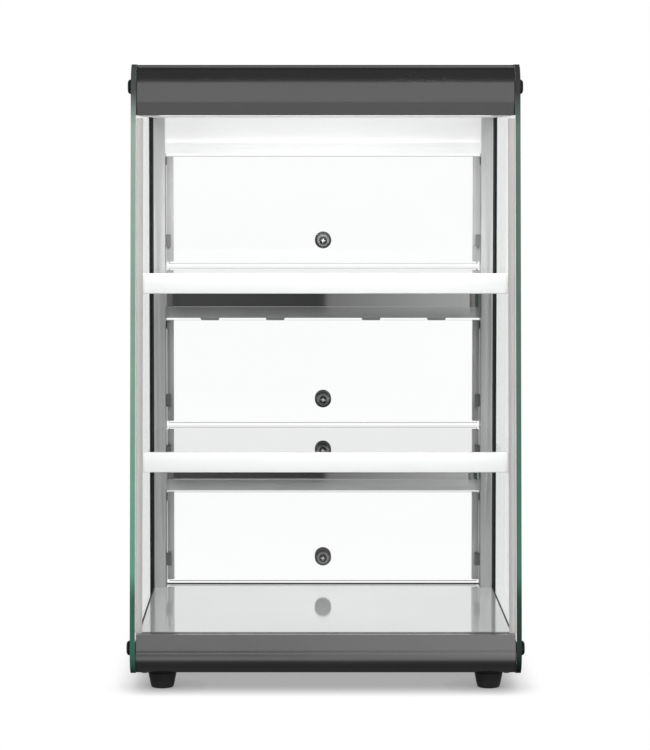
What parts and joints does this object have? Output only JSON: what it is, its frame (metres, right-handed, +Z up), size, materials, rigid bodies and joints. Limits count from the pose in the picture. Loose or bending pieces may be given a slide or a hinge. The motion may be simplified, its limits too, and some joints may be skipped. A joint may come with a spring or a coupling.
{
  "type": "bakery display case",
  "caption": "Counter-top display case with clear leaning front, glass sides, lit ceiling, polished shelves with white lips, dark rounded profiles and rear flap doors.",
  "frame": {"origin": "on the table, under the middle of the object's bounding box", "axes": "+X to the right seen from the front, +Y to the back (doors), +Z up"},
  "size_m": [0.3884, 0.3754, 0.61],
  "materials": {
    "clear_glass": "clear toughened float glass with polished edges that look green",
    "clear_acrylic": "clear acrylic sheet with polished edges",
    "clear_seal": "translucent grey extruded plastic seal",
    "black_rubber": "matt black rubber",
    "grey_plastic": "light grey moulded plastic",
    "black_plastic": "black moulded plastic, fine texture",
    "black_metal": "black oxide steel, slightly glossy",
    "dark_profile": "dark grey satin coated aluminium and sheet",
    "polished_steel": "polished stainless sheet, mirror-like",
    "satin_steel": "brushed stainless, fine vertical grain",
    "plated_steel": "bright zinc or nickel plated steel",
    "knob_metal": "turned dark nickel-like metal",
    "white_lip": "white semi-gloss rail",
    "aluminium": "natural anodised aluminium",
    "led_board": "white circuit board with yellow-white chips",
    "opal_plastic": "opal light diffuser, lit from inside"
  },
  "bodies": {
    "case": {"base_deck": "polished_steel", "base_gaskets": "black_rubber", "base_pan": "dark_profile", "bottom_front_profile": "dark_profile", "bracket_screws": "plated_steel", "cable_gland": "black_plastic", "catch_magnets": "plated_steel", "ceiling_panel": "satin_steel", "door_catches": "grey_plastic", "foot_screws": "plated_steel", "front_glass": "clear_glass", "front_seal_left": "clear_seal", "front_seal_right": "clear_seal", "gland_nut": "black_plastic", "hinge_bushes": "black_plastic", "led_channel": "aluminium", "led_diffuser": "opal_plastic", "led_driver": "grey_plastic", "led_lead": "black_rubber", "led_strip": "led_board", "pan_screws": "plated_steel", "rail_tabs": "satin_steel", "rear_gasket_left": "black_rubber", "rear_gasket_right": "black_rubber", "rear_lower_rail": "polished_steel", "rear_stile_left": "satin_steel", "rear_stile_right": "satin_steel", "rear_top_rail": "satin_steel", "rear_upper_rail": "polished_steel", "rubber_feet": "black_rubber", "screw_bushes": "grey_plastic", "shelf_lower": "polished_steel", "shelf_lower_brackets": "satin_steel", "shelf_lower_lip": "white_lip", "shelf_upper": "polished_steel", "shelf_upper_brackets": "satin_steel", "shelf_upper_lip": "white_lip", "side_glass_left": "clear_glass", "side_glass_right": "clear_glass", "side_screws": "black_metal", "switch_housing": "black_plastic", "top_cover": "dark_profile", "top_front_profile": "dark_profile", "top_gaskets": "black_rubber"},
    "bottom_door": {"bottom_door_knob": "knob_metal", "bottom_door_panel": "clear_acrylic", "bottom_door_pins": "plated_steel", "bottom_door_screw": "plated_steel", "bottom_door_strips": "satin_steel"},
    "middle_door": {"middle_door_knob": "knob_metal", "middle_door_panel": "clear_acrylic", "middle_door_pins": "plated_steel", "middle_door_screw": "plated_steel", "middle_door_strips": "satin_steel"},
    "top_door": {"top_door_knob": "knob_metal", "top_door_panel": "clear_acrylic", "top_door_pins": "plated_steel", "top_door_screw": "plated_steel", "top_door_strips": "satin_steel"},
    "rocker": {"switch_rocker": "black_plastic"}
  },
  "joints": [
    {"name": "bottom_door_hinge", "type": "hinge", "parent": "case", "child": "bottom_door", "pos_m": [0, 0.16564, 0.1465], "axis": [1, 0, 0], "range_deg": [0, 90]},
    {"name": "middle_door_hinge", "type": "hinge", "parent": "case", "child": "middle_door", "pos_m": [0, 0.16564, 0.335], "axis": [1, 0, 0], "range_deg": [0, 90]},
    {"name": "top_door_hinge", "type": "hinge", "parent": "case", "child": "top_door", "pos_m": [0, 0.16564, 0.5135], "axis": [1, 0, 0], "range_deg": [0, 90]},
    {"name": "switch_rocker_pivot", "type": "hinge", "parent": "case", "child": "rocker", "pos_m": [-0.09, 0.17114, 0.0335], "axis": [0, 0, 1], "range_deg": [0, 14]}
  ]
}
